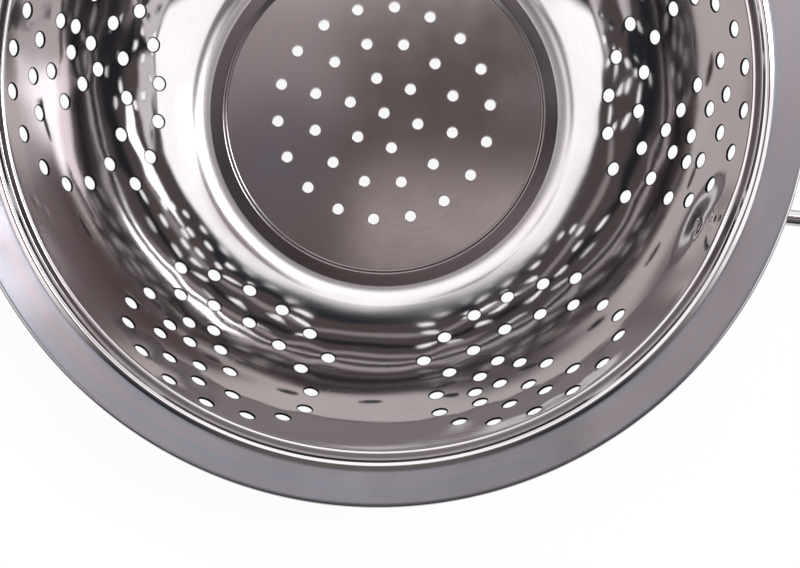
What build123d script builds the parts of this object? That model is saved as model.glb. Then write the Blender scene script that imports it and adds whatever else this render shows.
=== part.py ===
from build123d import *
from math import acos, cos, degrees, radians, sin, tan
import os

# A deep-drawn steel colander: a perforated bowl on a welded foot ring, with two welded side handles.
# Lengths are millimetres and angles are degrees. +Z is up, and the origin lies on the table
# under the bowl's axis. Slopes are measured from the horizontal, along the inside of the bowl.

os.makedirs("parts", exist_ok=True)

# Sheet and fits
sheet = 0.6
weld_gap = 0.1
overrun = 5.0
place_accuracy = 0.02

# Bowl, from the floor outwards
floor_clearance = 15.0
floor_radius = 58.2
step_rise = 1.0
step_bend = 1.2
seat_radius = 64.5
fillet_radius = 13.1
fillet_slope = 35.0
belly_radius = 95.3
belly_slope = 73.7
shoulder_radius = 283.0
wall_height = 73.2

# Ledge, riser and crest under the flange
ledge_bend = 1.4
ledge_slope = 12.0
ledge_width = 1.1
riser_bend = 1.0
riser_slope = 60.0
riser_length = 0.8
crest_bend = 1.5
crest_slope = -3.0
crest_width = 1.0
valley_bend = 2.0

# Flange and its curled edge
rim_radius = 130.0
flange_slope = 20.0
curl_radius = 1.35
curl_end_slope = -205.0

# Holes in the floor: one in the middle, then rings of six, twelve and eighteen
floor_hole_radius = 2.0
floor_ring_pitch = 13.2
floor_ring_holes = 6
floor_ring_turns = [43.5, 15.5, 5.85]

# Holes in the wall: six equal motifs, each drawn as shares of its half angle and of the wall's arc.
# The first one faces the right handle, whose ends are welded in the plain stretches beside it.
wall_hole_radius = 2.45
motif_count = 6
motif_half_angle = 20.0
mirrored_hole_shares = [
    (0.240, 0.221), (0.680, 0.278), (0.970, 0.378), (0.730, 0.473), (0.905, 0.597),
    (0.905, 0.722), (0.760, 0.829), (0.495, 0.911), (0.170, 0.955), (0.415, 0.393),
]
single_hole_shares = [
    (0.000, 0.359), (-0.230, 0.501), (-0.455, 0.553), (-0.050, 0.571), (-0.550, 0.641),
    (-0.310, 0.641), (0.150, 0.662), (-0.540, 0.722), (-0.090, 0.736), (-0.315, 0.816),
    (0.000, 0.837), (0.295, 0.805),
]

# Foot ring
foot_flange_radius = 60.8
foot_flange_width = 3.0
foot_bend = 1.4
foot_flare = 8.0
foot_lip_width = 3.6

# Handles: a round rod whose ends are flattened and spot-welded under the ledge.
# A flattened rod keeps the area of its section.
rod_diameter = 5.0
pad_width = 10.0
pad_thickness = rod_diameter ** 2 / pad_width
pad_length = 13.0
pad_height = 62.2
pad_angle = 22.0
pad_splay = 35.0
pad_bend = 5.0
pad_seat_depth = 0.4
handle_rise = 5.0
handle_spread = 5.0
handle_gap = 26.5
handle_corner = 16.0
handle_bow_radius = 120.0
handle_bow_slope = 8.0
section_points = 12
knee_sections = 4

floor_top = floor_clearance + sheet


def bend(start, heading, radius, end_heading):
    """Walk round an arc from one heading to another. Returns the arc's end and its centre."""
    side = 1 if end_heading > heading else -1
    first, last = radians(heading), radians(end_heading)
    centre = (start[0] - side * radius * sin(first), start[1] + side * radius * cos(first))
    end = (centre[0] + side * radius * sin(last), centre[1] - side * radius * cos(last))
    return end, centre


class SheetLine:
    """The line of one sheet's left skin in the radius and height plane, walked bend by bend."""

    def __init__(self, radius, height, heading=0.0):
        self.point = (radius, height)
        self.heading = heading
        self.steps = []

    def straight(self, length):
        way = radians(self.heading)
        end = (self.point[0] + length * cos(way), self.point[1] + length * sin(way))
        self.steps.append(("line", self.point, end, self.heading, self.heading, 0, None))
        self.point = end

    def straight_to_radius(self, radius):
        self.straight((radius - self.point[0]) / cos(radians(self.heading)))

    def straight_to_height(self, height):
        self.straight((height - self.point[1]) / sin(radians(self.heading)))

    def turn(self, radius, end_heading):
        end, centre = bend(self.point, self.heading, radius, end_heading)
        self.steps.append(("arc", self.point, end, self.heading, end_heading, radius, centre))
        self.point = end
        self.heading = end_heading

    def skin(self, depth):
        """The edges of the skin that lies this far to the right of the walked line."""
        edges = []
        for kind, start, end, heading, end_heading, radius, centre in self.steps:
            first = shift(start, heading, depth)
            last = shift(end, end_heading, depth)
            if kind == "line":
                edges.append(Line(first, last))
                continue
            side = 1 if end_heading > heading else -1
            middle_way = radians((heading + end_heading) / 2)
            reach = radius + side * depth
            middle = (centre[0] + side * reach * sin(middle_way), centre[1] - side * reach * cos(middle_way))
            edges.append(ThreePointArc(first, middle, last))
        return edges

    def section(self, near, far):
        """The closed face between the skins at two depths, standing in the XZ plane."""
        inner = self.skin(near)
        outer = self.skin(far)
        ends = [Line(inner[0] @ 0, outer[0] @ 0), Line(inner[-1] @ 1, outer[-1] @ 1)]
        return Plane.XZ * make_face(Curve() + inner + outer + ends)


def shift(point, heading, depth):
    """A point moved to the right of its heading."""
    way = radians(heading)
    return (point[0] + depth * sin(way), point[1] - depth * cos(way))


def spin(face):
    """A full turn of a section about the bowl's axis."""
    return revolve(face, Axis.Z, 360)


def height_of(distance, radius, slope, end_slope):
    """How high an arc climbs between two slopes, added to a height already reached."""
    return distance + radius * (cos(radians(slope)) - cos(radians(end_slope)))


# The wall's inside is three arcs in a row: the fillet, the belly and the shoulder
seat_height = floor_top + step_rise
belly_height = height_of(seat_height, fillet_radius, 0, fillet_slope)
shoulder_height = height_of(belly_height, belly_radius, fillet_slope, belly_slope)
shoulder_climb = (floor_top + wall_height - shoulder_height) / shoulder_radius
shoulder_slope = degrees(acos(cos(radians(belly_slope)) - shoulder_climb))
wall_arcs = [
    (fillet_radius, 0.0, fillet_slope),
    (belly_radius, fillet_slope, belly_slope),
    (shoulder_radius, belly_slope, shoulder_slope),
]
wall_length = sum(radius * radians(end - start) for radius, start, end in wall_arcs)


def wall_place(distance):
    """The point and the slope of the wall's inside, this far along it from the floor's seat."""
    point, slope = (seat_radius, seat_height), 0.0
    for radius, start_slope, end_slope in wall_arcs:
        reach = min(distance, radius * radians(end_slope - start_slope))
        slope = start_slope + degrees(reach / radius)
        point, centre = bend(point, start_slope, radius, slope)
        distance -= reach
        if distance <= 0:
            break
    return point, slope


def wall_place_at(height):
    """The point and the slope of the wall's inside at one height, found by halving."""
    low, high = 0.0, wall_length
    while high - low > place_accuracy:
        middle = (low + high) / 2
        if wall_place(middle)[0][1] < height:
            low = middle
        else:
            high = middle
    return wall_place(low)


def bowl_line():
    """The bowl's inside, from the middle of the floor to the end of the curled edge."""
    line = SheetLine(0, floor_top)
    line.straight_to_radius(floor_radius)
    line.turn(step_bend, degrees(acos(1 - step_rise / (2 * step_bend))))
    line.turn(step_bend, 0)
    line.straight_to_radius(seat_radius)
    for radius, start_slope, end_slope in wall_arcs:
        line.turn(radius, end_slope)
    line.turn(ledge_bend, ledge_slope)
    line.straight(ledge_width)
    line.turn(riser_bend, riser_slope)
    line.straight(riser_length)
    line.turn(crest_bend, crest_slope)
    line.straight(crest_width)
    line.turn(valley_bend, flange_slope)
    line.straight_to_radius(rim_radius - curl_radius * (1 + sin(radians(flange_slope))))
    line.turn(curl_radius, curl_end_slope)
    return line


def floor_holes():
    """Round holes through the flat floor: one in the middle and three rings round it."""
    punch = Cylinder(floor_hole_radius, 2 * overrun)
    holes = [Pos(0, 0, floor_top) * punch]
    for ring, turn in enumerate(floor_ring_turns, start=1):
        count = ring * floor_ring_holes
        for step in range(count):
            angle = radians(turn + 360 * step / count)
            reach = ring * floor_ring_pitch
            holes.append(Pos(reach * cos(angle), reach * sin(angle), floor_top) * punch)
    return holes


def wall_hole(angle, share):
    """One hole punched square to the wall, placed by its angle and its share of the wall's arc."""
    (radius, height), slope = wall_place(share * wall_length)
    turn, tilt = radians(angle), radians(slope)
    centre = (radius * cos(turn), radius * sin(turn), height)
    inward = (-sin(tilt) * cos(turn), -sin(tilt) * sin(turn), cos(tilt))
    return Plane(origin=centre, z_dir=inward) * Cylinder(wall_hole_radius, 2 * overrun)


def wall_holes():
    """The same motif of holes, repeated round the wall."""
    mirrored = [(-turn, rise) for turn, rise in mirrored_hole_shares]
    motif = mirrored_hole_shares + mirrored + single_hole_shares
    holes = []
    for copy in range(motif_count):
        middle = 360 * copy / motif_count
        holes += [wall_hole(middle + turn * motif_half_angle, rise) for turn, rise in motif]
    return holes


def bowl():
    """The drawn sheet, turned from its section and then perforated."""
    blank = spin(bowl_line().section(0, sheet))
    return blank - floor_holes() - wall_holes()


def foot_ring():
    """A pressed ring: a flange under the bowl's seat, a flared wall and a flat lip on the table."""
    line = SheetLine(foot_flange_radius, seat_height - sheet)
    line.straight(foot_flange_width)
    line.turn(foot_bend, foot_flare - 90)
    lip_bend_drop = foot_bend * (1 - sin(radians(foot_flare)))
    line.straight_to_height(sheet + lip_bend_drop)
    line.turn(foot_bend, 0)
    line.straight(foot_lip_width)
    return spin(line.section(0, sheet))


def pad_frame():
    """The middle of a handle's flattened end, and its directions: along it, out of the wall, across."""
    (radius, height), slope = wall_place_at(floor_top + pad_height)
    turn, tilt, splay = radians(pad_angle), radians(slope), radians(pad_splay)
    radial = Vector(cos(turn), sin(turn), 0)
    round_the_wall = Vector(-sin(turn), cos(turn), 0)
    up_the_wall = radial * cos(tilt) + Vector(0, 0, sin(tilt))
    outward = radial * sin(tilt) - Vector(0, 0, cos(tilt))
    along = up_the_wall * cos(splay) - round_the_wall * sin(splay)
    across = round_the_wall * cos(splay) + up_the_wall * sin(splay)
    depth = sheet + weld_gap + pad_thickness / 2 - pad_seat_depth
    middle = radial * radius + Vector(0, 0, height) + outward * depth
    return middle, along, outward, across


def rod_section(place, way, across, roundness):
    """The rod's section at one place: flat as its pad at roundness 0, and a circle at 1."""
    half_width = (pad_width + (rod_diameter - pad_width) * roundness) / 2
    half_depth = rod_diameter ** 2 / (4 * half_width)
    side = (across - way * across.dot(way)).normalized()
    turns = [radians(360 * step / section_points) for step in range(section_points)]
    outline = Spline([(half_width * cos(turn), half_depth * sin(turn)) for turn in turns], periodic=True)
    return Plane(origin=place, x_dir=side, z_dir=way) * make_face(outline)


def blade(pad_head, along, across, leg_start):
    """One end of the rod: it flattens as it bends down, and lies along the wall as a pad."""
    knee = TangentArc(pad_head, leg_start, tangent=along)
    stations = [step / knee_sections for step in range(knee_sections + 1)]
    sections = [rod_section(knee @ station, knee % station, across, station) for station in stations]
    return loft(sections) + extrude(sections[0], amount=-pad_length)


def pad_cutters(middle, along, outward, across):
    """What shapes a pad: the wall's own curve behind it, and a rounded tip below."""
    tip = middle - along * ((pad_length - pad_width) / 2)
    below = Pos(0, -pad_width, 0) * Box(2 * pad_width, 2 * pad_width, 2 * overrun)
    tip_cutter = Plane(origin=tip, x_dir=across, z_dir=outward) * (below - Cylinder(pad_width / 2, 4 * overrun))
    line = SheetLine(*wall_place(fillet_radius * radians(fillet_slope))[0], heading=fillet_slope)
    for radius, start_slope, end_slope in wall_arcs[1:]:
        line.turn(radius, end_slope)
    return [tip_cutter, spin(line.section(-pad_seat_depth, sheet + weld_gap))]


def handle():
    """The right side handle: legs that spread under the flange, a bowed grip, and pads on the wall."""
    middle, along, outward, across = pad_frame()
    rise, spread, bow = radians(handle_rise), radians(handle_spread), tan(radians(handle_bow_slope))
    leg = Vector(cos(rise) * cos(spread), cos(rise) * sin(spread), sin(rise))
    knee_reach = pad_bend * tan(radians(along.get_angle(leg) / 2))
    pad_head = middle + along * (pad_length / 2)
    knee = pad_head + along * knee_reach
    leg_start = knee + leg * knee_reach
    grip_x = rim_radius + handle_gap + rod_diameter / 2
    peak_x = grip_x + handle_bow_radius * (1 / cos(radians(handle_bow_slope)) - 1)
    corner = knee + leg * ((peak_x - knee.X - knee.Y * bow) / (leg.X + leg.Y * bow))
    peak = Vector(peak_x, 0, knee.Z + (peak_x - knee.X) * leg.Z / leg.X)
    far_corner, far_start = [Vector(point.X, -point.Y, point.Z) for point in (corner, leg_start)]
    radii = [handle_corner, handle_bow_radius, handle_corner]
    grip = FilletPolyline(leg_start, corner, peak, far_corner, far_start, radius=radii)
    rod = sweep(rod_section(leg_start, leg, across, 1), path=grip)
    end = blade(pad_head, along, across, leg_start) - pad_cutters(middle, along, outward, across)
    return rod + end + mirror(end, Plane.XZ)


right_handle = handle()
pieces = {
    "bowl": bowl(),
    "foot_ring": foot_ring(),
    "handle_right": right_handle,
    "handle_left": Rot(0, 0, 180) * right_handle,
}
for name, piece in pieces.items():
    export_step(piece, f"parts/{name}.step")
    print(name, "solids", len(piece.solids()), "volume", round(piece.volume, 1))
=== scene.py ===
# %% [markdown]
# A mirror-polished steel colander
#
# The colander is one drawn steel bowl that is polished inside like a mirror, with a satin flange, a
# foot ring and two side handles. The photograph looks straight down into it. Nearly all of its look
# comes from two things: a clean, closed surface that bends light as the real sheet does, and a room
# for the mirror to show. So most of this lesson is about those two. We start by loading the packed
# construction model, which fixes every size and place.

# %% Load the construction model
import math

import bpy
import numpy as np
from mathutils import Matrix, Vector, geometry


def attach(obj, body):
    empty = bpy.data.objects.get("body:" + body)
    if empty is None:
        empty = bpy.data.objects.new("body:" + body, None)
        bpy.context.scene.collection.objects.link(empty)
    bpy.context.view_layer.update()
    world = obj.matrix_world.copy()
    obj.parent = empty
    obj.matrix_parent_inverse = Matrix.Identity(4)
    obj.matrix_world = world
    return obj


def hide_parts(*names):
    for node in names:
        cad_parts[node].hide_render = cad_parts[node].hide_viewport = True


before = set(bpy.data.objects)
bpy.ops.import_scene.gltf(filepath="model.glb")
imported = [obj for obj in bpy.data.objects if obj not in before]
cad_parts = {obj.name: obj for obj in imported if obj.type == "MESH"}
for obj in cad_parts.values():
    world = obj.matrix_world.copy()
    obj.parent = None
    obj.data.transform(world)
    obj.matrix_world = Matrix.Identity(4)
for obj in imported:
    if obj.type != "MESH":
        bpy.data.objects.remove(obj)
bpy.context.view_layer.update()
MM = 0.001


print("construction nodes:", sorted(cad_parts))

# %% [markdown]
# Sizes
#
# These are the real object's sizes in millimetres and degrees, the same ones that the construction
# model uses. They could be measured on its mesh, but a named size says what it is and can be used in
# a sum. The floor's top is counted from the table, and the wall's height from the floor. A slope is
# the angle between the sheet and the table, walked from the middle of the floor towards the rim. A
# press can't fold steel to a sharp edge, so every change of slope has the radius of its bend.

# %% Sizes of the drawn sheet
SHEET = 0.6
FLOOR_TOP = 15.6
FLOOR_RADIUS = 58.2
STEP_RISE, STEP_BEND = 1.0, 1.2
SEAT_RADIUS = 64.5
FILLET_RADIUS, FILLET_SLOPE = 13.1, 35.0
BELLY_RADIUS, BELLY_SLOPE = 95.3, 73.7
SHOULDER_RADIUS, WALL_HEIGHT = 283.0, 73.2
LEDGE_BEND, LEDGE_SLOPE, LEDGE_WIDTH = 1.4, 12.0, 1.1
RISER_BEND, RISER_SLOPE, RISER_LENGTH = 1.0, 60.0, 0.8
CREST_BEND, CREST_SLOPE, CREST_WIDTH = 1.5, -3.0, 1.0
VALLEY_BEND, FLANGE_SLOPE = 2.0, 20.0
RIM_RADIUS, CURL_RADIUS, CURL_END_SLOPE = 130.0, 1.35, -205.0
print("rim across in mm:", 2 * RIM_RADIUS, "sheet in mm:", SHEET)

# %% [markdown]
# The camera
#
# The photograph was taken from straight above, a little towards the viewer's side. The circles of
# the floor, the ledge and the rim aren't concentric in the picture, and how far they are shifted
# tells how high the camera was: about 400 mm above the floor. A small lens shift then puts the
# picture's edges where the photograph has them. Tilting the camera would do that too, but it would
# turn the circles into ellipses. The bowl was turned a little, so that its handles lie 1.5 degrees
# off the picture's level line. The camera's place over the bowl is counted from the bowl's axis, to
# the right and up in the picture, and pixels are counted from the picture's left top corner.

# %% Camera
HANDLES_IN_PICTURE = math.radians(-1.5)
CAMERA_OVER = Vector((9.4, -60.3))
CAMERA_ABOVE_FLOOR = 400.3
NEAREST_SEEN = 10.0
PICTURE_WIDTH_PIXELS = 800
FOCAL_PIXELS = 1076.0
SENSOR_WIDTH = 36.0
STRAIGHT_DOWN_PIXEL = (409.4, 275.1)
PICTURE_CENTRE_PIXEL = (400.0, 284.0)


def add_object(name, data):
    """Put a mesh or a camera into the scene."""
    made = bpy.data.objects.new(name, data)
    bpy.context.scene.collection.objects.link(made)
    return made


def make_camera():
    """A camera that looks straight down and stands where the photographer's did."""
    data = bpy.data.cameras.new("camera")
    data.sensor_width = SENSOR_WIDTH
    data.lens = FOCAL_PIXELS / PICTURE_WIDTH_PIXELS * SENSOR_WIDTH
    data.shift_x = (PICTURE_CENTRE_PIXEL[0] - STRAIGHT_DOWN_PIXEL[0]) / PICTURE_WIDTH_PIXELS
    data.shift_y = (STRAIGHT_DOWN_PIXEL[1] - PICTURE_CENTRE_PIXEL[1]) / PICTURE_WIDTH_PIXELS
    data.clip_start = NEAREST_SEEN * MM
    made = add_object("camera", data)
    cosine, sine = math.cos(HANDLES_IN_PICTURE), math.sin(HANDLES_IN_PICTURE)
    over_x = CAMERA_OVER.x * cosine + CAMERA_OVER.y * sine
    over_y = CAMERA_OVER.y * cosine - CAMERA_OVER.x * sine
    made.location = Vector((over_x, over_y, FLOOR_TOP + CAMERA_ABOVE_FLOOR)) * MM
    made.rotation_euler.z = -HANDLES_IN_PICTURE
    bpy.context.scene.camera = made
    return made


camera = make_camera()
print("lens in mm:", round(camera.data.lens, 2), "height in mm:", round(camera.location.z / MM))

# %% [markdown]
# Walking along the sheet
#
# The bowl is one bent line turned about its axis. It could be a curve with a Screw modifier, but then
# the direction of the surface at each corner would only be guessed from the faces round it. So we
# describe the line as a walk: go straight, then turn round an arc, and so on. The walk can tell the
# place and the slope at any distance along it, and that gives exact directions. A mirror needs them:
# it shows every facet of a rough mesh, but not when each corner knows how the surface really lies.

# %% The walk
ROUNDING = 1e-9


class SheetWalk:
    """A bent line in the radius and height plane, made of straights and arcs that flow on."""

    def __init__(self, radius, height, slope=0.0):
        self.here = (radius, height, math.radians(slope))
        self.length = 0.0
        self.legs = []

    def add(self, length, turn):
        self.legs.append((self.length, length, *self.here, turn))
        self.length += length
        self.here = tuple(float(value) for value in self.place(self.length))
        return self

    def straight(self, length):
        return self.add(length, 0.0)

    def straight_to_radius(self, radius):
        return self.straight((radius - self.here[0]) / math.cos(self.here[2]))

    def turn(self, bend, end_slope):
        """Turn round an arc of this radius until the line has this slope, in degrees."""
        turn = math.radians(end_slope) - self.here[2]
        return self.add(bend * abs(turn), turn)

    def place(self, distance):
        """Radius, height and slope at each distance along the walk."""
        legs = np.array(self.legs)
        which = np.searchsorted(legs[:, 0], np.asarray(distance, float) + ROUNDING, side="right") - 1
        start, length, radius, height, slope, turn = np.moveaxis(legs[np.maximum(which, 0)], -1, 0)
        run = distance - start
        now = slope + turn * run / length
        bent = np.abs(turn) > 0  # a straight leg has no bend, and its stand-in of 1.0 isn't used
        bend = np.where(bent, length / np.where(bent, turn, 1.0), 0.0)
        out = np.where(bent, bend * (np.sin(now) - np.sin(slope)), run * np.cos(slope))
        up = np.where(bent, bend * (np.cos(slope) - np.cos(now)), run * np.sin(slope))
        return radius + out, height + up, now


fillet = SheetWalk(SEAT_RADIUS, FLOOR_TOP).turn(FILLET_RADIUS, FILLET_SLOPE)
print("the fillet ends at radius and height in mm:", [round(value, 1) for value in fillet.here[:2]])

# %% [markdown]
# The bowl's line
#
# The bowl is pressed from one flat disc. From the middle outwards, its line has the flat floor, a
# small step that stiffens it, a fillet, the long curved wall, a ledge, a riser with a bright crest,
# and the flange with its curled edge. We note where the stretches begin and end, because the finish
# changes there: the inside is mirror-polished, the flange is satin, and the curl is bright again.

# %% Walk the bowl
def walk_the_bowl():
    """The line of the bowl's inner skin, and where its stretches begin and end."""
    walk = SheetWalk(0, FLOOR_TOP).straight_to_radius(FLOOR_RADIUS)
    marks = {"floor_end": walk.length}
    step_slope = math.acos(1 - STEP_RISE / (2 * STEP_BEND))
    walk.turn(STEP_BEND, math.degrees(step_slope)).turn(STEP_BEND, 0)
    walk.straight_to_radius(SEAT_RADIUS)
    marks["wall_start"] = walk.length
    walk.turn(FILLET_RADIUS, FILLET_SLOPE).turn(BELLY_RADIUS, BELLY_SLOPE)
    climb = (FLOOR_TOP + WALL_HEIGHT - walk.here[1]) / SHOULDER_RADIUS
    walk.turn(SHOULDER_RADIUS, math.degrees(math.acos(math.cos(walk.here[2]) - climb)))
    marks["wall_end"] = walk.length
    walk.turn(LEDGE_BEND, LEDGE_SLOPE)
    marks["ledge_start"] = walk.length
    walk.straight(LEDGE_WIDTH)
    marks["riser_start"] = walk.length
    walk.turn(RISER_BEND, RISER_SLOPE).straight(RISER_LENGTH)
    walk.turn(CREST_BEND, CREST_SLOPE).straight(CREST_WIDTH)
    marks["crest_end"] = walk.length
    walk.turn(VALLEY_BEND, FLANGE_SLOPE)
    walk.straight_to_radius(RIM_RADIUS - CURL_RADIUS * (1 + math.sin(math.radians(FLANGE_SLOPE))))
    marks["flange_end"] = walk.length
    walk.turn(CURL_RADIUS, CURL_END_SLOPE)
    return walk, marks


bowl_walk, bowl_marks = walk_the_bowl()
print("sheet from the middle to the curl's end in mm:", round(bowl_walk.length, 1))
print("marks along it in mm:", {name: round(value, 1) for name, value in bowl_marks.items()})

# %% [markdown]
# Where the holes are
#
# The floor has one hole in the middle and three rings of six, twelve and eighteen round it. The wall
# repeats one motif six times. Most of its holes come in mirrored pairs, so each pair is written once,
# as a share of the motif's half angle and a share of the wall's length. The rest stand by themselves.
# A list of all 229 places would work as well, but nobody could see the pattern in it or change it.

# %% Hole places
FLOOR_HOLE_RADIUS, WALL_HOLE_RADIUS = 2.0, 2.45
FLOOR_RING_PITCH, FLOOR_RING_HOLES = 13.2, 6
FLOOR_RING_TURNS = [43.5, 15.5, 5.85]  # each ring's first hole, in degrees from the right handle
MOTIF_COUNT, MOTIF_HALF_ANGLE = 6, math.radians(20.0)
SECTOR = 2 * math.pi / MOTIF_COUNT
MIRRORED_HOLE_SHARES = [
    (0.240, 0.221), (0.680, 0.278), (0.970, 0.378), (0.730, 0.473), (0.905, 0.597),
    (0.905, 0.722), (0.760, 0.829), (0.495, 0.911), (0.170, 0.955), (0.415, 0.393),
]
SINGLE_HOLE_SHARES = [
    (0.000, 0.359), (-0.230, 0.501), (-0.455, 0.553), (-0.050, 0.571), (-0.550, 0.641),
    (-0.310, 0.641), (0.150, 0.662), (-0.540, 0.722), (-0.090, 0.736), (-0.315, 0.816),
    (0.000, 0.837), (0.295, 0.805),
]


def motif_holes():
    """One motif's holes as an azimuth from its middle and a distance along the sheet."""
    other_side = [(-turn, rise) for turn, rise in MIRRORED_HOLE_SHARES]
    shares = MIRRORED_HOLE_SHARES + other_side + SINGLE_HOLE_SHARES
    length = bowl_marks["wall_end"] - bowl_marks["wall_start"]
    return [(turn * MOTIF_HALF_ANGLE, bowl_marks["wall_start"] + rise * length) for turn, rise in shares]


def floor_hole_places():
    """The floor's holes, seen from above, as places to the right and away from the viewer."""
    places = [(0.0, 0.0)]
    for ring, turn in enumerate(FLOOR_RING_TURNS, start=1):
        count = ring * FLOOR_RING_HOLES
        reach = ring * FLOOR_RING_PITCH
        for step in range(count):
            angle = math.radians(turn + 360 * step / count)
            places.append((reach * math.cos(angle), reach * math.sin(angle)))
    return places


wall_holes = motif_holes()
floor_holes = floor_hole_places()
print("holes in one motif:", len(wall_holes), "holes in the floor:", len(floor_holes))

# %% [markdown]
# Dents
#
# A drawn bowl is never a perfect surface of revolution. The handles are spot-welded to the outside
# of the wall, and each weld leaves a small crinkled mark that shows in the mirror inside, with a wide
# shallow bruise round it. The sheet also waves a little, and it dips round each punched hole. Most of
# these dents are hundredths of a millimetre deep, but a mirror makes them plain, and without them it
# looks like plastic. A bump in the material could fake them, but then the exported mesh would stay
# perfect, so we add them to the sheet itself as a height, on both of its skins alike. Only the bruise
# fades out towards the outer skin, which lies flat against the handle's weld pad. First we find the
# welds: two on each of the four pads. The near pad of the right handle shows best in the photograph.

# %% Places of the spot welds
# Degrees from the middle of the handle, and heights over the floor, of a pad's two welds
WELD_TURNS, WELD_HEIGHTS = (20.8, 23.2), (68.7, 62.1)
WELD_ROWS = 900
WELD_PADS = [
    # the pad's side of its handle, the handle's azimuth, how strongly its welds mark the sheet
    (1, 0.0, 0.25), (1, math.pi, 0.15), (-1, 0.0, 1.0), (-1, math.pi, 0.15),
]


def weld_places():
    """The azimuth, the distance along the sheet and the strength of each spot weld."""
    rows = np.linspace(bowl_marks["wall_start"], bowl_marks["wall_end"], WELD_ROWS)
    heights = bowl_walk.place(rows)[1] - FLOOR_TOP
    places = []
    for side, handle, strength in WELD_PADS:
        for turn, height in zip(WELD_TURNS, WELD_HEIGHTS):
            azimuth = handle + side * math.radians(turn)
            places.append((azimuth, float(np.interp(height, heights, rows)), strength))
    return places


welds = weld_places()
print("spot welds on the wall:", len(welds))

# %% Waves of the wall
WAVE_DEPTH = 0.045
WAVE_FADE_LOW, WAVE_FADE_HIGH = 12, 6
WAVES = [
    # strength, count round the bowl, turn for each millimetre of sheet, start
    (1.0, 3, 0.11, 0.6), (0.7, 7, -0.07, 0.0), (0.5, 12, 0.16, 2.0),
]


def wall_waves(azimuth, distance):
    """How far the wall waves outwards. The waves fade out at the wall's two ends."""
    inside_wall = np.clip((distance - bowl_marks["wall_start"]) / WAVE_FADE_LOW, 0, 1)
    inside_wall = inside_wall * np.clip((bowl_marks["wall_end"] - distance) / WAVE_FADE_HIGH, 0, 1)
    waves = 0
    for strength, count, turn, start in WAVES:
        waves = waves + strength * np.sin(count * azimuth + turn * distance + start)
    return WAVE_DEPTH * waves * inside_wall


print("highest wave in mm, if all of them meet:", round(WAVE_DEPTH * sum(wave[0] for wave in WAVES), 3))

# %% Weld marks
WELD_RADIUS, WELD_DEPTH = 1.5, 0.10
WELD_RING_WIDTH = 0.45 * WELD_RADIUS
WELD_CRINKLES = [
    # strength, folds round the weld, turn from one weld to the next
    (0.5, 5, 1), (0.3, 9, 2),
]
BRUISE_RADIUS, BRUISE_DEPTH = 11.0, 0.65


def hump(reach, width):
    """One at the middle, and less and less over about this width."""
    return np.exp(-(reach / width) ** 2)


def weld_mark(number, azimuth, distance, radius):
    """One weld's crinkled ring, which goes outwards, and its bruise, which goes inwards."""
    weld_azimuth, weld_distance, strength = welds[number]
    around = ((azimuth - weld_azimuth + math.pi) % (2 * math.pi) - math.pi) * radius
    along = distance - weld_distance
    reach, heading = np.hypot(around, along), np.arctan2(along, around)
    crinkle = 1
    for share, folds, turn in WELD_CRINKLES:
        crinkle = crinkle + share * np.sin(folds * heading + turn * number)
    ring = strength * WELD_DEPTH * hump(reach - WELD_RADIUS, WELD_RING_WIDTH) * crinkle
    return ring, strength * BRUISE_DEPTH * hump(reach, BRUISE_RADIUS)


# %% All the dents together
DIMPLE_RADIUS, DIMPLE_DEPTH = 4.6, 0.035


def dents(azimuth, distance, radius, depth):
    """How far the sheet is pushed outwards at each point, this deep below its inner skin."""
    inner_share = 1 - depth / SHEET
    push = wall_waves(azimuth, distance)
    folded = (azimuth + SECTOR / 2) % SECTOR - SECTOR / 2
    for turn, along_sheet in wall_holes:
        reach = np.hypot((folded - turn) * radius, distance - along_sheet)
        push = push + DIMPLE_DEPTH * hump(reach, DIMPLE_RADIUS)
    for number in range(len(welds)):
        ring, bruise = weld_mark(number, azimuth, distance, radius)
        push = push + ring
        push = push - inner_share * bruise
    return push


def pull_at_plainest_weld():
    """How far all the dents together pull the inner skin inwards at the plainest weld."""
    azimuth, distance, _ = max(welds, key=lambda weld: weld[2])
    return -float(dents(azimuth, distance, bowl_walk.place(distance)[0], 0.0))


print("inner skin pulled inwards at the plainest weld, in mm:", round(pull_at_plainest_weld(), 2))

# %% [markdown]
# The dented sheet
#
# Two functions are all that the mesh needs to know about the sheet. The first gives a point of it,
# from the azimuth, the distance along the sheet and the depth below its inner skin. The second gives
# the directions there. They could be worked out by calculus, dents and all, but it is simpler and
# just as good to step a few hundredths of a millimetre to either side and see where that leads.

# %% Points and directions of the sheet
NUDGE = 0.04
SMALLEST_TURN_RADIUS = 1.0


def sheet_point(azimuth, distance, depth):
    """Points of the sheet, this deep below its inner skin, with the dents added."""
    radius, height, slope = bowl_walk.place(distance)
    deep = depth + dents(azimuth, distance, radius, depth)
    radius = radius + deep * np.sin(slope)
    height = height - deep * np.cos(slope)
    return np.stack([radius * np.cos(azimuth), radius * np.sin(azimuth), height], -1)


def sheet_directions(azimuth, distance, depth):
    """At each point: along the sheet, round it, and out of its inner skin."""
    turn = NUDGE / np.maximum(bowl_walk.place(distance)[0], SMALLEST_TURN_RADIUS)
    along = sheet_point(azimuth, distance + NUDGE, depth) - sheet_point(azimuth, distance - NUDGE, depth)
    around = sheet_point(azimuth + turn, distance, depth) - sheet_point(azimuth - turn, distance, depth)
    along /= np.linalg.norm(along, axis=-1, keepdims=True)
    around /= np.linalg.norm(around, axis=-1, keepdims=True)
    inward = np.cross(along, around)
    return along, around, inward / np.linalg.norm(inward, axis=-1, keepdims=True)


wall_middle = (bowl_marks["wall_start"] + bowl_marks["wall_end"]) / 2
print("the wall's middle at the right, in mm:", sheet_point(0.0, wall_middle, 0.0).round(1))
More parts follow.
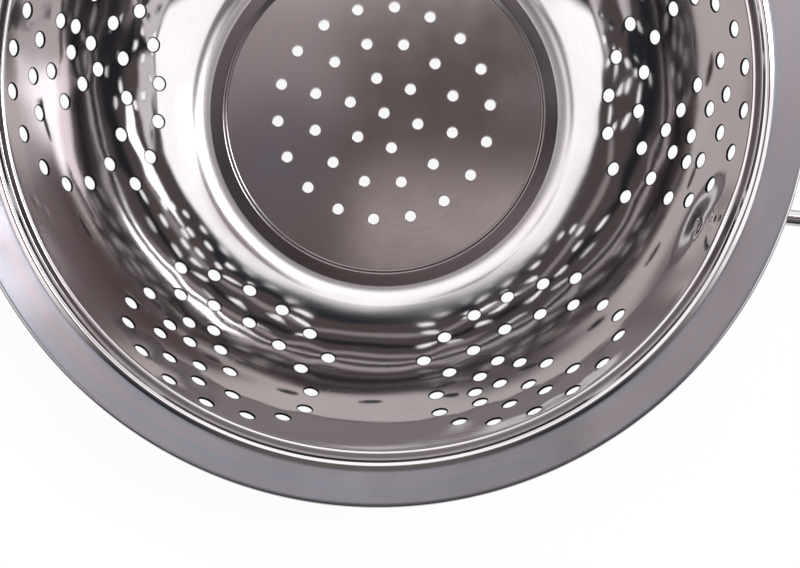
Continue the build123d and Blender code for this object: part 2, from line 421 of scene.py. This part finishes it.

# %% [markdown]
# A mesh that knows its directions
#
# We collect corners and faces one by one. Corners at the same place become one, so the finished skin is
# closed. Smooth shading alone would take each corner's direction from the faces round it, and every
# long triangle would show in the mirror. Here each face corner brings its own direction instead,
# which Blender keeps as a custom normal. That way the mirror sees the true curve, and a punched edge
# can still be sharp.

# %% A collector of faces
CORNER_STEPS_PER_MM = 2000


class SteelSkin:
    """Gathers faces whose corners carry a place and a direction, and makes one closed mesh of them."""

    def __init__(self):
        self.index = {}
        self.places, self.faces, self.normals, self.finishes = [], [], [], []

    def corner(self, place):
        """The number of the corner at this place in millimetres, new or already there."""
        key = tuple(round(value * CORNER_STEPS_PER_MM) for value in place)
        if key not in self.index:
            self.index[key] = len(self.places)
            self.places.append(tuple(value * MM for value in place))
        return self.index[key]

    def face(self, places, normals, finish):
        """One face. Corners that fall together count once, and a face without area is left out."""
        corners = [self.corner(place) for place in places]
        kept = [at for at, corner in enumerate(corners) if corner != corners[at - 1]]
        if len(set(corners[at] for at in kept)) < 3:
            return
        self.faces.append([corners[at] for at in kept])
        self.normals += [tuple(normals[at]) for at in kept]
        self.finishes.append(finish)

    def grid(self, places, normals, finishes, flip):
        """Faces between the rows and columns of a grid of points, with a finish for each row."""
        for row in range(places.shape[0] - 1):
            for column in range(places.shape[1] - 1):
                loop = [(row, column), (row, column + 1), (row + 1, column + 1), (row + 1, column)]
                loop = loop[::-1] if flip else loop
                self.face([places[at] for at in loop], [normals[at] for at in loop], finishes[row])

    def build(self, name, materials):
        """The Blender object made of all the faces."""
        mesh = bpy.data.meshes.new(name)
        mesh.from_pydata(self.places, [], self.faces)
        mesh.polygons.foreach_set("use_smooth", [True] * len(self.faces))
        mesh.polygons.foreach_set("material_index", self.finishes)
        for material in materials:
            mesh.materials.append(material)
        mesh.normals_split_custom_set(self.normals)
        print(name, "corners", len(self.places), "faces", len(self.faces))
        return add_object(name, mesh)


print("corners closer than this become one, in mm:", 1 / CORNER_STEPS_PER_MM)

# %% [markdown]
# Wiring materials
#
# Materials, and the room that the mirror will show, are trees of nodes. They could be put together in
# the shader editor, but in a script each value stays in view and can be explained. A small helper
# makes that short: it adds a node, and each of its inputs takes either a plain value or the output of
# another node.

# %% Shader helper
class Wiring:
    """The node tree of a material or a world, with short ways to add nodes and to join them."""

    def __init__(self, owner):
        owner.use_nodes = True
        self.nodes, self.links = owner.node_tree.nodes, owner.node_tree.links
        self.nodes.clear()

    def feed(self, socket, value):
        """Join an input to another node's output, or give it a plain number or colour."""
        if isinstance(value, bpy.types.NodeSocket):
            self.links.new(value, socket)
        else:
            socket.default_value = (*value, 1) if isinstance(value, tuple) else value

    def add(self, kind, **values):
        """A new node. A name that starts with in_ feeds an input, and any other is a setting."""
        made = self.nodes.new("ShaderNode" + kind)
        for name, value in values.items():
            if name.startswith("in_"):
                self.feed(made.inputs[name[3:].replace("_", " ")], value)
            else:
                setattr(made, name, value)
        return made

    def math(self, operation, *values):
        """The result of one operation on numbers or outputs."""
        made = self.add("Math", operation=operation)
        for socket, value in zip(made.inputs, values):
            self.feed(socket, value)
        return made.outputs[0]

    def map_range(self, value, low, high, to_low=0.0, to_high=1.0, **settings):
        """Move a value from one range to another, and stop it at the ends."""
        return self.add("MapRange", **settings, in_Value=value, in_From_Min=low, in_From_Max=high,
                        in_To_Min=to_low, in_To_Max=to_high).outputs[0]

    def mix_colours(self, share, under, over, blend="MIX"):
        """Lay one colour over another by a share."""
        return self.add("Mix", data_type="RGBA", blend_type=blend, in_Factor=share, in_A=under,
                        in_B=over).outputs["Result"]

    def mix_shaders(self, share, under, over):
        """Lay one shader over another by a share."""
        made = self.add("MixShader")
        for socket, value in zip(made.inputs, (share, under, over)):
            self.feed(socket, value)
        return made.outputs[0]


# %% [markdown]
# Steel finishes
#
# All the pieces are the same stainless steel, but each finish scatters light in its own way. The
# mirror inside is buffed on a turning wheel and keeps faint rings, and the wheel doesn't reach well
# into the fillet, which stays duller. The floor is buffed less, so it mirrors the ceiling softly and
# a shade darker. The flange is left satin by a fine abrasive band, and its lines run round the rim,
# which spreads each light into a streak across them. An image of scratches could be wrapped round the
# bowl, but it would need unwrapping and leave a seam. So one recipe makes them all: a Principled
# shader whose roughness and weak bump follow noise that is stretched round the axis, with a slow
# drift of the colour between cool and warm. Steel has no paint to vary, but its oxide film does drift
# like that, and the photograph shows it on the flange.

# %% Lines that run round the axis
# How finely the noise changes across the lines, for each metre, and how slowly along them
RING_LINES, ARC_LINES = 9000, 5
BAND_LINES, BAND_ARCS = 220, 1.5
LEAST_REACH = 1e-4


def turned_place(wiring, place):
    """How far out and up each point lies, its heading as two shares of one, and its height."""
    x, y, z = wiring.add("SeparateXYZ", in_Vector=place).outputs
    square = wiring.math("ADD", wiring.math("MULTIPLY", x, x), wiring.math("MULTIPLY", y, y))
    reach = wiring.math("SQRT", square)
    safe_reach = wiring.math("MAXIMUM", reach, LEAST_REACH)
    heading = (wiring.math("DIVIDE", x, safe_reach), wiring.math("DIVIDE", y, safe_reach))
    return wiring.math("ADD", reach, z), heading, z


def stretched(wiring, wide, heading, across, around):
    """A coordinate that changes fast across the turning lines and slowly along them."""
    parts = [wiring.math("MULTIPLY", wide, across)]
    parts += [wiring.math("MULTIPLY", share, around) for share in heading]
    return wiring.add("CombineXYZ", in_X=parts[0], in_Y=parts[1], in_Z=parts[2]).outputs[0]


# %% Drift of the colour
COOL_CAST, WARM_CAST = (-0.07, -0.01, 0.05), (0.08, -0.01, -0.02)
DRIFT_LOW, DRIFT_HIGH = 0.36, 0.64
WORN_SHADE, WORN_STRENGTH = (0.80, 0.80, 0.80), 1.6


def drifting_colour(wiring, colour, cast, bands, wear):
    """The steel's colour, from a cool cast to a warm one, and a little darker where it is worn."""
    casts = []
    for change in (COOL_CAST, WARM_CAST):
        casts.append(tuple(value * (1.0 + cast * part) for value, part in zip(colour, change)))
    drift = wiring.map_range(bands, DRIFT_LOW, DRIFT_HIGH)
    toned = wiring.mix_colours(drift, *casts)
    return wiring.mix_colours(wiring.math("MULTIPLY", wear, WORN_STRENGTH), toned, WORN_SHADE, "MULTIPLY")


# %% The recipe for turned steel
CLOUD_SCALE = 38.0
WEAR_LOW, WEAR_HIGH = 0.1, 0.45
DULL_CORNER_LOW, DULL_CORNER_HIGH = 16.6, 25.0  # heights over the table where the fillet turns bright
SCRATCH_DEPTH = 0.02
QUARTER_TURN = 0.25


def turned_steel(name, colour, roughness, spread, bump=0.0, anisotropy=0.0, corner=0.0, cast=0.2):
    """Steel with lines that run round the axis.

    Spread is how much the roughness varies, corner is how much rougher the fillet is, and cast is
    how strongly the colour drifts.
    """
    material = bpy.data.materials.new(name)
    wiring = Wiring(material)
    place = wiring.add("TexCoord").outputs["Object"]
    wide, heading, height = turned_place(wiring, place)
    rings = stretched(wiring, wide, heading, RING_LINES, ARC_LINES)
    lines = wiring.add("TexNoise", in_Vector=rings, in_Scale=1.0, in_Detail=3.0, in_Roughness=0.6)
    clouds = wiring.add("TexNoise", in_Vector=place, in_Scale=CLOUD_SCALE, in_Detail=4.0, in_Roughness=0.55)
    bands = wiring.add("TexNoise", in_Vector=stretched(wiring, wide, heading, BAND_LINES, BAND_ARCS),
                       in_Scale=1.0, in_Detail=2.0)
    wear = wiring.math("MULTIPLY", lines.outputs["Fac"], clouds.outputs["Fac"])
    rough = wiring.map_range(wear, WEAR_LOW, WEAR_HIGH, max(roughness - spread, 0.0), roughness + spread)
    if corner > 0:
        fade = wiring.map_range(height, DULL_CORNER_LOW * MM, DULL_CORNER_HIGH * MM, corner, 0.0)
        rough = wiring.math("ADD", rough, fade)
    shown = drifting_colour(wiring, colour, cast, bands.outputs["Fac"], wear)
    shader = wiring.add("BsdfPrincipled", in_Metallic=1.0, in_Roughness=rough, in_Base_Color=shown,
                        in_Anisotropic=anisotropy)
    if bump > 0:
        relief = wiring.add("Bump", in_Strength=bump, in_Distance=SCRATCH_DEPTH * MM,
                            in_Height=lines.outputs["Fac"])
        wiring.feed(shader.inputs["Normal"], relief.outputs[0])
    if anisotropy > 0:
        tangent = wiring.add("Tangent", direction_type="RADIAL", axis="Z")
        wiring.feed(shader.inputs["Tangent"], tangent.outputs[0])
        wiring.feed(shader.inputs["Anisotropic Rotation"], QUARTER_TURN)
    wiring.add("OutputMaterial", in_Surface=shader.outputs[0])
    return material


# %% The finishes of the bowl
MIRROR_COLOUR = (0.58, 0.56, 0.565)
FLOOR_COLOUR = (0.43, 0.39, 0.385)
SATIN_COLOUR = (0.235, 0.224, 0.236)
EDGE_COLOUR = (0.80, 0.79, 0.79)
# The step and the ledge use the same steel with a much darker colour: painted shade for the dark look they
# have in the mirror
STEP_SHADE_COLOUR = (0.185, 0.165, 0.166)
BOWL_FINISHES = [
    turned_steel("mirror_steel", MIRROR_COLOUR, roughness=0.035, spread=0.025, bump=0.05, corner=0.2),
    turned_steel("floor_steel", FLOOR_COLOUR, roughness=0.13, spread=0.04, bump=0.10, anisotropy=0.3),
    turned_steel("satin_steel", SATIN_COLOUR, roughness=0.38, spread=0.10, bump=0.6, anisotropy=0.93,
                 cast=1.2),
    turned_steel("outer_steel", MIRROR_COLOUR, roughness=0.10, spread=0.05, bump=0.1),
    turned_steel("sheared_edge", EDGE_COLOUR, roughness=0.45, spread=0.05),
    # A darker copy of the steel for the step and the ledge, whose dark colour is painted shade
    turned_steel("shaded_step_steel", STEP_SHADE_COLOUR, roughness=0.14, spread=0.05, bump=0.3, anisotropy=0.5),
]
MIRROR, FLOOR, SATIN, OUTER, EDGE, STEP = range(len(BOWL_FINISHES))
print("finishes:", [material.name for material in BOWL_FINISHES])

# %% [markdown]
# Punching
#
# A punched hole isn't a bare cut. The punch pulls the edge down a little on the side where it
# enters, and polishing rounds that edge off further. The rounded lip is about a third of a millimetre
# wide, and it draws the thin dark line round each hole in the photograph. A boolean would cut the
# holes in one step, but it leaves long thin triangles that a mirror shows as kinks. So we triangulate
# the sheet between the holes with a tool that Blender has for flat points, and add each hole's lip
# and wall as rings.

# %% Rings of a punched hole
HOLE_CORNERS = 28
LIP, RAISED, EXIT_LIP = 0.36, 0.015, 0.10
LIP_RINGS = [
    # how far outside the hole, how deep below the inner skin, tilt towards the hole in degrees
    (LIP, 0.0, 0.0), (0.65 * LIP, -0.4 * RAISED, -7.0), (0.35 * LIP, -RAISED, 0.0),
    (0.16 * LIP, 0.0, 22.0), (0.04 * LIP, 0.10 * LIP, 60.0), (0.0, 0.20 * LIP, 90.0),
]
EXIT_RINGS = [
    # the same on the other side, with the depth counted back from the outer skin
    (0.0, EXIT_LIP, 90.0), (0.3 * EXIT_LIP, 0.3 * EXIT_LIP, 127.0),
    (EXIT_LIP, 0.0, 180.0), (LIP, 0.0, 180.0),
]


def even_turns(steps, closed=False):
    """Angles once round in even steps. A closed set has its first place again at the end."""
    return np.arange(steps + int(closed)) * 2 * math.pi / steps


def hole_ring(radius, corners=HOLE_CORNERS):
    """Points of a circle round a hole, as steps round the bowl and along the sheet."""
    turns = even_turns(corners)
    return radius * np.cos(turns), radius * np.sin(turns), turns


def lip_rings(hole_radius):
    """Radius, depth and tilt towards the hole of each ring, from the inner skin to the outer one."""
    inner = [(hole_radius + wide, deep, math.radians(tilt)) for wide, deep, tilt in LIP_RINGS]
    outer = [(hole_radius + wide, SHEET - deep, math.radians(tilt)) for wide, deep, tilt in EXIT_RINGS]
    return inner + outer


def join_rings(skin, rings, finish):
    """Faces from ring to ring. The lip keeps the sheet's finish, and the rest is a sheared edge."""
    for number, ((first, first_way), (second, second_way)) in enumerate(zip(rings, rings[1:])):
        for at in range(HOLE_CORNERS):
            past = (at + 1) % HOLE_CORNERS
            places = [first[at], first[past], second[past], second[at]]
            normals = [first_way[at], first_way[past], second_way[past], second_way[at]]
            skin.face(places, normals, finish if number < len(LIP_RINGS) - 1 else EDGE)


print("rings in each hole:", len(lip_rings(WALL_HOLE_RADIUS)))

# %% Triangles between the holes
SAME_PLACE = 1e-6


def triangles_between(points, loops, inside):
    """Even triangles of flat points, without those whose middle the test puts in a hole."""
    edges = [(loop[at - 1], loop[at]) for loop in loops for at in range(len(loop))]
    flat = [Vector((float(x), float(y))) for x, y in points]
    places, _, faces, origin, _, _ = geometry.delaunay_2d_cdt(flat, edges, [], 0, SAME_PLACE)
    kept = []
    for face in faces:
        middle = sum((places[corner] for corner in face), Vector((0, 0))) / len(face)
        if not inside(middle.x, middle.y):
            kept.append([origin[corner][0] for corner in face])
    return kept


# %% [markdown]
# The perforated wall
#
# The wall is unrolled into a flat strip, one motif wide, and its grid points and holes are joined
# into triangles there, since that is all the tool can work on. The strip is then bent back
# on to the wall six times, once on the inner skin and once on the outer one. Neighbouring strips
# share the grid's last column, so they close up.

# %% Rows of the mesh
ROW_LENGTH, ROW_TURN = 2.0, 7.0
SHORTEST_ROW = 1e-6


def rows_along(low, high):
    """Distances for the mesh's rows: close together where the sheet bends, wider where it doesn't."""
    rows = [low]
    for start, length, _, _, _, turn in bowl_walk.legs:
        first, last = max(start, low), min(start + length, high)
        if last - first < SHORTEST_ROW:
            continue
        share = (last - first) / length
        count = math.ceil(max((last - first) / ROW_LENGTH, abs(math.degrees(turn)) * share / ROW_TURN, 1))
        rows += [first + (last - first) * step / count for step in range(1, count + 1)]
    return np.array(rows)


wall_rows = rows_along(bowl_marks["wall_start"], bowl_marks["wall_end"])
print("rows up the wall:", len(wall_rows))

# %% The wall's flat strip
COLUMNS = 240
STRIP_RADIUS = 95.0
CLEAR_OF_WALL_HOLE = 1.9
COLLAR, COLLAR_CORNERS = 1.1, 20
INSIDE_LIP_SHARE = 0.9


def radius_at(distance):
    return float(bowl_walk.place(distance)[0])


def wall_strip():
    """The azimuth and distance of one motif's points, and the triangles between them."""
    columns = np.linspace(-SECTOR / 2, SECTOR / 2, COLUMNS // MOTIF_COUNT + 1)
    holes = [(turn, along, radius_at(along)) for turn, along in wall_holes]
    points = []
    for row, distance in enumerate(wall_rows):
        radius = radius_at(distance)
        for column, azimuth in enumerate(columns):
            edge = row in (0, len(wall_rows) - 1) or column in (0, len(columns) - 1)
            gaps = [math.hypot((azimuth - turn) * radius, distance - along) for turn, along, _ in holes]
            if edge or min(gaps) > WALL_HOLE_RADIUS + CLEAR_OF_WALL_HOLE:
                points.append((azimuth, distance))
    loops = []
    for turn, along, radius in holes:
        around, up, _ = hole_ring(WALL_HOLE_RADIUS + LIP)
        loops.append(list(range(len(points), len(points) + HOLE_CORNERS)))
        points += list(zip(turn + around / radius, along + up))
        around, up, _ = hole_ring(WALL_HOLE_RADIUS + COLLAR, COLLAR_CORNERS)
        points += list(zip(turn + around / radius, along + up))
    flat = [(azimuth * STRIP_RADIUS, distance) for azimuth, distance in points]

    def in_hole(x, y):
        for turn, along, radius in holes:
            gap = math.hypot((x / STRIP_RADIUS - turn) * radius, y - along)
            if gap < WALL_HOLE_RADIUS + LIP * INSIDE_LIP_SHARE:
                return True
        return False

    return np.array(points), triangles_between(flat, loops, in_hole)


# %% Build the wall
SKINS = [(0.0, 1), (SHEET, -1)]  # the depth of each skin, and which way it faces


def add_wall_hole(skin, middle, along_sheet):
    """The lip and the wall of one hole, punched square to the bent sheet."""
    radius = radius_at(along_sheet)
    rings = []
    for ring_radius, depth, tilt in lip_rings(WALL_HOLE_RADIUS):
        around, along, turns = hole_ring(ring_radius)
        azimuth, distance = middle + around / radius, along_sheet + along
        up, side, inward = sheet_directions(azimuth, distance, depth)
        to_axis = -(np.cos(turns)[:, None] * side + np.sin(turns)[:, None] * up)
        ways = math.sin(tilt) * to_axis + math.cos(tilt) * inward
        rings.append((sheet_point(azimuth, distance, depth), ways))
    join_rings(skin, rings, MIRROR)


def add_wall(skin):
    """Both skins of the wall and all its holes."""
    points, triangles = wall_strip()
    for copy in range(MOTIF_COUNT):
        azimuth, distance = points[:, 0] + copy * SECTOR, points[:, 1]
        for depth, side in SKINS:
            places = sheet_point(azimuth, distance, depth)
            normals = side * sheet_directions(azimuth, distance, depth)[2]
            for corners in triangles:
                loop = corners[::-1] if side > 0 else corners
                finish = MIRROR if side > 0 else OUTER
                skin.face([places[at] for at in loop], [normals[at] for at in loop], finish)
        for turn, along in wall_holes:
            add_wall_hole(skin, turn + copy * SECTOR, along)
    return len(points), len(triangles)


bowl_skin = SteelSkin()
print("points and triangles of one motif:", add_wall(bowl_skin))

# %% [markdown]
# The floor
#
# The floor is flat, so its triangles are made straight from above. Its points lie in rows, each
# shifted by half a step against the last, which gives nearly even triangles. A fan of triangles from
# the middle would need fewer, but they would be long and thin.

# %% Build the floor
FLOOR_SPACING, ROW_SHARE = 3.0, 0.866
RIM_CLEAR_SHARE = 0.6
CLEAR_OF_FLOOR_HOLE = 1.6


def add_floor_hole(skin, x, y):
    """The lip and the wall of one hole, straight down through the flat floor."""
    rings = []
    for radius, depth, tilt in lip_rings(FLOOR_HOLE_RADIUS):
        across, up, turns = hole_ring(radius)
        height = np.full(HOLE_CORNERS, FLOOR_TOP - depth)
        flat, up_way = -math.sin(tilt), np.full(HOLE_CORNERS, math.cos(tilt))
        ways = np.stack([flat * np.cos(turns), flat * np.sin(turns), up_way], -1)
        rings.append((np.stack([x + across, y + up, height], -1), ways))
    join_rings(skin, rings, FLOOR)


def floor_triangles():
    """The floor's points, seen from above, and the triangles between them."""

    def gap_to_hole(x, y):
        return min(math.hypot(x - a, y - b) for a, b in floor_holes)

    turns = even_turns(COLUMNS)
    points = list(zip(FLOOR_RADIUS * np.cos(turns), FLOOR_RADIUS * np.sin(turns)))
    loops = [list(range(COLUMNS))]
    steps = int(FLOOR_RADIUS / FLOOR_SPACING) + 1
    inside_rim = FLOOR_RADIUS - RIM_CLEAR_SHARE * FLOOR_SPACING
    for row in range(-steps, steps + 1):
        for column in range(-steps, steps + 1):
            x = (column + row % 2 / 2) * FLOOR_SPACING
            y = row * FLOOR_SPACING * ROW_SHARE
            if math.hypot(x, y) < inside_rim and gap_to_hole(x, y) > FLOOR_HOLE_RADIUS + CLEAR_OF_FLOOR_HOLE:
                points.append((x, y))
    for x, y in floor_holes:
        across, up, _ = hole_ring(FLOOR_HOLE_RADIUS + LIP)
        loops.append(list(range(len(points), len(points) + HOLE_CORNERS)))
        points += list(zip(x + across, y + up))

    def in_hole(x, y):
        return gap_to_hole(x, y) < FLOOR_HOLE_RADIUS + LIP * INSIDE_LIP_SHARE

    return np.array(points), triangles_between(points, loops, in_hole)


def add_floor(skin):
    """Both skins of the floor and all its holes."""
    points, triangles = floor_triangles()
    azimuth, distance = np.arctan2(points[:, 1], points[:, 0]), np.hypot(points[:, 0], points[:, 1])
    for depth, side in SKINS:
        places = sheet_point(azimuth, distance, depth)
        normal = (0.0, 0.0, float(side))
        for corners in triangles:
            loop = corners if side > 0 else corners[::-1]
            skin.face([places[at] for at in loop], [normal] * 3, FLOOR if side > 0 else OUTER)
    for x, y in floor_holes:
        add_floor_hole(skin, x, y)
    return len(triangles)


print("floor triangles:", add_floor(bowl_skin))

# %% [markdown]
# The step and the rim
#
# The step and everything outside the wall have no holes: they are plain bands turned about the axis,
# with rows close together in the bends. A Screw modifier could turn them, but they have to share
# their edge corners with the wall and the floor, so they go through the same collector. The ledge is
# dull like the step, and both are given a much darker colour of the steel: painted shade for the dark
# look they have in the mirror. The flange is satin, and the crest and the curl are bright. The inner
# and the outer skin meet at the end of the curl, which closes the sheet.

# %% Build the step and the rim
# The stretch of the ledge that takes the step's darker steel, whose dark colour is painted shade
SHADED_LEDGE_START = bowl_marks["ledge_start"] - 0.3 * LEDGE_BEND
SHADED_LEDGE_END = bowl_marks["riser_start"] + 0.5 * RISER_BEND
SATIN_START = bowl_marks["crest_end"] - 0.1
SATIN_END = bowl_marks["flange_end"] + 0.5 * CURL_RADIUS
DIRECTION_INSET = 0.05


# The step always takes the darker steel, whose dark colour is painted shade
def step_finish(distance):
    return STEP


def rim_finish(distance):
    if SHADED_LEDGE_START < distance < SHADED_LEDGE_END:
        return STEP
    return SATIN if SATIN_START < distance < SATIN_END else MIRROR


def add_band(skin, low, high, finish_at):
    """Both skins of a turned band between two distances along the sheet.

    Directions are taken a little inside the band, so that they don't mix with its neighbour's.
    """
    rows = rows_along(low, high)
    azimuth, distance = np.meshgrid(even_turns(COLUMNS, closed=True), rows)
    measured = np.clip(distance, low + DIRECTION_INSET, high - DIRECTION_INSET)
    for depth, side in SKINS:
        places = sheet_point(azimuth, distance, depth)
        normals = side * sheet_directions(azimuth, measured, depth)[2]
        finishes = [finish_at(row) if side > 0 else OUTER for row in rows]
        skin.grid(places, normals, finishes, flip=side > 0)


def add_curl_end(skin):
    """The thin face that closes the sheet at the end of the curl."""
    turns = even_turns(COLUMNS, closed=True)
    ends = np.full(COLUMNS + 1, bowl_walk.length - SHORTEST_ROW)
    places = np.stack([sheet_point(turns, ends, depth) for depth, _ in SKINS])
    along = sheet_directions(turns, ends - DIRECTION_INSET, 0.0)[0]
    skin.grid(places, np.stack([along, along]), [OUTER], flip=True)


add_band(bowl_skin, bowl_marks["floor_end"], bowl_marks["wall_start"], step_finish)
add_band(bowl_skin, bowl_marks["wall_end"], bowl_walk.length, rim_finish)
add_curl_end(bowl_skin)
bowl_sheet = bowl_skin.build("bowl_sheet", BOWL_FINISHES)
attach(bowl_sheet, "root")
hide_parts("bowl")

# %% [markdown]
# Foot and handles
#
# The foot ring is a plain pressing with a satin finish, and the handles are bent from polished rod
# with flattened ends. They could be built again here, as the bowl was, but nothing in them needs
# it: the construction model already has their true shapes. So we keep its meshes and only give them
# their steel. The photograph shows neither, apart from the welds' marks.

# %% Finish the foot and the handles
FOOT_COLOUR = (0.50, 0.49, 0.495)
foot_steel = turned_steel("foot_satin", FOOT_COLOUR, roughness=0.28, spread=0.08, bump=0.3, anisotropy=0.5)
handle_steel = turned_steel("handle_polish", MIRROR_COLOUR, roughness=0.10, spread=0.05, bump=0.05)
welded_on = {"foot_ring": foot_steel, "handle_right": handle_steel, "handle_left": handle_steel}
for name, material in welded_on.items():
    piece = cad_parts[name]
    piece.data.materials.clear()
    piece.data.materials.append(material)
print("pieces welded on:", sorted(welded_on))

# %% [markdown]
# White paper
#
# The photograph's background is plain white. Stronger light would turn a grey floor white, but it
# would spoil the steel as well. So the camera and the mirror see a paper that glows white by itself,
# mixed with a little plain paper that takes the object's shadow. Under the bowl, where little light
# comes, the mirror sees the plain paper alone.

# %% White paper floor
PAPER_REACH = 3.0
SHADED_RADIUS = 0.075
PAPER_GLOW = 0.93
PAPER_COLOUR, WHITE = (0.86, 0.86, 0.86), (1, 1, 1)


def white_paper():
    """Glowing white to the camera and the mirror, and plain paper to all other light."""
    material = bpy.data.materials.new("white_paper")
    wiring = Wiring(material)
    paper = wiring.add("BsdfDiffuse", in_Color=PAPER_COLOUR).outputs[0]
    glow = wiring.add("Emission", in_Color=WHITE, in_Strength=1.0).outputs[0]
    ray = wiring.add("LightPath").outputs
    place = wiring.add("TexCoord").outputs["Object"]
    reach = wiring.add("VectorMath", operation="LENGTH", in_Vector=place).outputs["Value"]
    open_paper = wiring.math("GREATER_THAN", reach, SHADED_RADIUS)
    mirrored = wiring.math("MULTIPLY", ray["Is Glossy Ray"], open_paper)
    seen = wiring.math("MAXIMUM", ray["Is Camera Ray"], mirrored)
    seen = wiring.math("MAXIMUM", seen, ray["Is Transmission Ray"])
    glowing = wiring.math("MULTIPLY", seen, PAPER_GLOW)
    wiring.add("OutputMaterial", in_Surface=wiring.mix_shaders(glowing, paper, glow))
    return material


def white_floor():
    """A square sheet of paper on the table."""
    corners = [(x * PAPER_REACH, y * PAPER_REACH, 0.0) for x, y in ((-1, -1), (1, -1), (1, 1), (-1, 1))]
    mesh = bpy.data.meshes.new("floor")
    mesh.from_pydata(corners, [], [(0, 1, 2, 3)])
    mesh.materials.append(white_paper())
    return add_object("floor", mesh)


floor = white_floor()
print("paper reaches this far from the bowl, in metres:", PAPER_REACH)

# %% [markdown]
# Painting the room
#
# A mirror has no look of its own: it shows the room. A lamp with a hard shape would show as that
# shape, so there are no lamps here. The whole room is painted on the world instead, as soft-edged
# rectangles on a ceiling one unit above the bowl: skylights, dark boards, a lamp to the right and
# the dark side where the photographer stands. A photograph of a real room could be wrapped round the
# scene, but here each rectangle's place can be chosen: it was found by following the mirrored line
# of sight from a streak in the photograph back out of the bowl. Each row of the list has a middle
# and a half width and depth on that ceiling, how soft its edge is, and its light, where 1 is white.
# Later rows cover earlier ones.

# %% Panels of the room
ROOM_WALL = (1.85, 1.83, 1.83)
PANELS = [
    # middle to the right, middle away from us, half width, half depth, softness; then the light
    ("near wall", (0.0, -50.95, 60.0, 50.0, 0.15), (0.035, 0.050, 0.065)),
    ("dark ceiling", (0.10, -0.70, 1.00, 0.97, 0.04), (0.23, 0.195, 0.19)),
    ("near beam", (0.0, -0.98, 1.60, 0.14, 0.04), (0.05, 0.065, 0.078)),
    ("near strip light", (0.20, -0.47, 0.55, 0.05, 0.02), (0.80, 0.75, 0.74)),
    ("near rail", (-0.25, -0.20, 0.85, 0.05, 0.03), (0.05, 0.055, 0.065)),
    ("far skylight", (0.0, 0.50, 0.40, 0.20, 0.03), (1.95, 1.90, 1.93)),
    ("left skylight", (-0.47, 0.12, 0.12, 0.22, 0.06), (1.8, 1.70, 1.74)),
    ("right skylight", (0.50, 0.12, 0.12, 0.22, 0.06), (1.8, 1.78, 1.80)),
    ("right window", (1.45, 0.48, 0.32, 0.26, 0.05), (5.2, 5.4, 5.6)),
    ("right board", (0.88, 1.00, 0.46, 0.50, 0.08), (0.30, 0.23, 0.24)),
    ("far left board", (-0.76, 0.66, 0.13, 0.11, 0.09), (0.62, 0.54, 0.56)),
    ("left door", (-0.72, 1.55, 0.30, 0.35, 0.14), (0.40, 0.36, 0.38)),
    ("right lamp", (0.45, 0.37, 0.15, 0.15, 0.03), (25.0, 25.7, 26.7)),
    ("near softbox", (-0.50, -0.47, 0.13, 0.14, 0.02), (6.5, 6.5, 6.7)),
    ("overhead", (0.14, 0.19, 0.20, 0.095, 0.015), (0.185, 0.155, 0.152)),
    ("pale board on the left", (-0.20, 0.21, 0.135, 0.07, 0.012), (0.62, 0.56, 0.575)),
    ("pale board in front", (0.10, 0.045, 0.15, 0.045, 0.015), (0.90, 0.80, 0.81)),
    ("blue shade", (-0.135, 0.115, 0.040, 0.055, 0.02), (0.26, 0.25, 0.31)),
]
print("panels in the room:", len(PANELS))

# %% Paint the world
LOWEST_CLIMB = 0.02


def panel_share(wiring, across, deep, panel):
    """One inside a soft-edged rectangle on the ceiling, nothing outside it."""
    middle_x, middle_y, half_x, half_y, soft = panel
    gaps = []
    for along, middle, half in ((across, middle_x, half_x), (deep, middle_y, half_y)):
        away = wiring.math("ABSOLUTE", wiring.math("SUBTRACT", along, middle))
        gaps.append(wiring.math("SUBTRACT", away, half))
    outside = wiring.math("MAXIMUM", *gaps)
    return wiring.map_range(outside, -soft, soft, 1.0, 0.0, interpolation_type="SMOOTHSTEP")


def studio_room():
    """The painted room, seen by all but the camera, which sees plain white."""
    world = bpy.data.worlds.new("studio")
    bpy.context.scene.world = world
    wiring = Wiring(world)
    direction = wiring.add("TexCoord").outputs["Generated"]
    right, away, climb = wiring.add("SeparateXYZ", in_Vector=direction).outputs
    up = wiring.math("MAXIMUM", climb, LOWEST_CLIMB)
    across, deep = wiring.math("DIVIDE", right, up), wiring.math("DIVIDE", away, up)
    colour = ROOM_WALL
    for _, panel, light in PANELS:
        colour = wiring.mix_colours(panel_share(wiring, across, deep, panel), colour, light)
    room = wiring.add("Background", in_Color=colour).outputs[0]
    white = wiring.add("Background", in_Color=WHITE, in_Strength=1.0).outputs[0]
    is_camera = wiring.add("LightPath").outputs["Is Camera Ray"]
    wiring.add("OutputWorld", in_Surface=wiring.mix_shaders(is_camera, room, white))
    return world


studio = studio_room()
bpy.context.scene.view_settings.view_transform = "Standard"
print("nodes in the world:", len(studio.node_tree.nodes))
